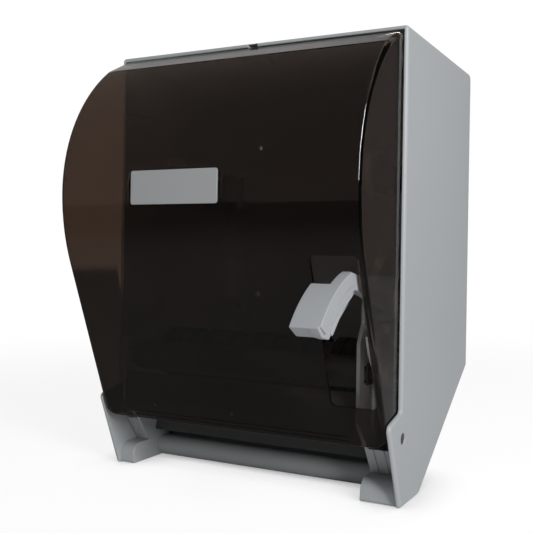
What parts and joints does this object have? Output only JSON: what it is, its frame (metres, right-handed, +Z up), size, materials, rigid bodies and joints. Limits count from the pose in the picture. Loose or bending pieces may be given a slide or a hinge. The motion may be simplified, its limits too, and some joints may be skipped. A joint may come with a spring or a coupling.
{
  "type": "lever paper towel dispenser",
  "caption": "Wall-mounted roll towel dispenser: grey cabinet, smoked bulging cover that swings down, side lever geared to a feed drum, pinch roller, cutter and sprung roll arms.",
  "frame": {"origin": "middle of the four wall screw holes, on the back face that lies on the wall", "axes": "+X to the right seen from the room, +Y back into the wall, +Z up"},
  "size_m": [0.28, 0.2929, 0.371],
  "materials": {
    "grey_moulding": "fine matte texture",
    "inner_moulding": "matte",
    "smoked_cover": "glossy smoked clear plastic",
    "nameplate": "satin",
    "lever_plastic": "satin",
    "gear_plastic": "natural acetal",
    "steel": "brushed",
    "zinc_steel": "bright zinc plated",
    "spring_steel": "bright wire",
    "rubber": "matte"
  },
  "bodies": {
    "cabinet": {"cabinet": "grey_moulding", "bottom_panel": "grey_moulding", "hinge_pin_left": "inner_moulding", "hinge_pin_right": "inner_moulding", "latch_body": "inner_moulding", "left_side_plate": "grey_moulding", "right_side_plate": "grey_moulding", "chassis_screws": "zinc_steel", "front_guide": "inner_moulding", "rear_guide": "inner_moulding", "cutter_blade": "steel", "blade_screws": "zinc_steel", "drum_bush_left": "gear_plastic", "drum_bush_right": "gear_plastic", "lever_pin": "zinc_steel", "lever_pin_clip": "spring_steel", "return_spring": "spring_steel", "stop_bumpers": "rubber", "pinch_springs": "spring_steel", "roll_arm_pin_left": "zinc_steel", "roll_arm_pin_right": "zinc_steel"},
    "cover": {"cover": "smoked_cover", "nameplate": "nameplate"},
    "latch_bolt": {"latch_bolt": "zinc_steel"},
    "lever": {"lever_handle": "lever_plastic", "gear_sector": "gear_plastic", "lever_screws": "zinc_steel"},
    "pinion": {"drive_pinion": "gear_plastic"},
    "drum": {"drum_core": "inner_moulding", "drum_tyres": "rubber", "drum_shaft": "steel", "shaft_clips": "spring_steel", "clutch_hub": "gear_plastic", "clutch_rollers": "steel"},
    "pinch_carriage": {"pinch_carrier_left": "inner_moulding", "pinch_carrier_right": "inner_moulding"},
    "pinch": {"pinch_roller": "inner_moulding", "pinch_shaft": "steel"},
    "roll_arm_left": {"roll_arm_left": "inner_moulding"},
    "roll_arm_right": {"roll_arm_right": "inner_moulding"},
    "roll_hub_left": {"roll_hub_left": "gear_plastic"},
    "roll_hub_right": {"roll_hub_right": "gear_plastic"}
  },
  "joints": [
    {"name": "cover_hinge", "type": "hinge", "parent": "cabinet", "child": "cover", "pos_m": [0, -0.1703, -0.1769], "axis": [1, 0, 0], "range_deg": [0, 92]},
    {"name": "latch_slide", "type": "slide", "parent": "cabinet", "child": "latch_bolt", "axis": [0, 0, -1], "range_m": [0, 0.005]},
    {"name": "lever_pivot", "type": "hinge", "parent": "cabinet", "child": "lever", "pos_m": [0.118, -0.122, -0.08217], "axis": [1, 0, 0], "range_deg": [0, 45], "stiffness_Nm_per_rad": 0.25, "springref_deg": -34.38, "deforming": ["return_spring"]},
    {"name": "pinion_spin", "type": "hinge", "parent": "cabinet", "child": "pinion", "pos_m": [0.1175, -0.126, -0.13], "axis": [1, 0, 0], "range_deg": [0, 225]},
    {"name": "drum_spin", "type": "hinge", "parent": "cabinet", "child": "drum", "pos_m": [-0.0085, -0.126, -0.13], "axis": [1, 0, 0], "continuous": true},
    {"name": "pinch_slide", "type": "slide", "parent": "cabinet", "child": "pinch_carriage", "axis": [0, -1, 0], "range_m": [0, 0.0015], "stiffness_N_per_m": 2000, "springref_m": -0.002, "deforming": ["pinch_springs"]},
    {"name": "pinch_spin", "type": "hinge", "parent": "pinch_carriage", "child": "pinch", "pos_m": [-0.0085, -0.1623, -0.13], "axis": [1, 0, 0], "continuous": true},
    {"name": "roll_arm_left_pivot", "type": "hinge", "parent": "cabinet", "child": "roll_arm_left", "pos_m": [-0.1145, -0.015, 0.033], "axis": [0, 0, -1], "range_deg": [0, 5.5], "stiffness_Nm_per_rad": 3, "springref_deg": -5.73},
    {"name": "roll_arm_right_pivot", "type": "hinge", "parent": "cabinet", "child": "roll_arm_right", "pos_m": [0.0975, -0.015, 0.033], "axis": [0, 0, 1], "range_deg": [0, 5.5], "stiffness_Nm_per_rad": 3, "springref_deg": -5.73},
    {"name": "roll_hub_left_spin", "type": "hinge", "parent": "roll_arm_left", "child": "roll_hub_left", "pos_m": [-0.1145, -0.125, 0.033], "axis": [1, 0, 0], "continuous": true},
    {"name": "roll_hub_right_spin", "type": "hinge", "parent": "roll_arm_right", "child": "roll_hub_right", "pos_m": [0.0975, -0.125, 0.033], "axis": [1, 0, 0], "continuous": true}
  ],
  "couplings": [
    {"joint": "pinion_spin", "follows": "lever_pivot", "ratio": 5},
    {"joint": "pinch_spin", "follows": "drum_spin", "ratio": -1.7692}
  ]
}
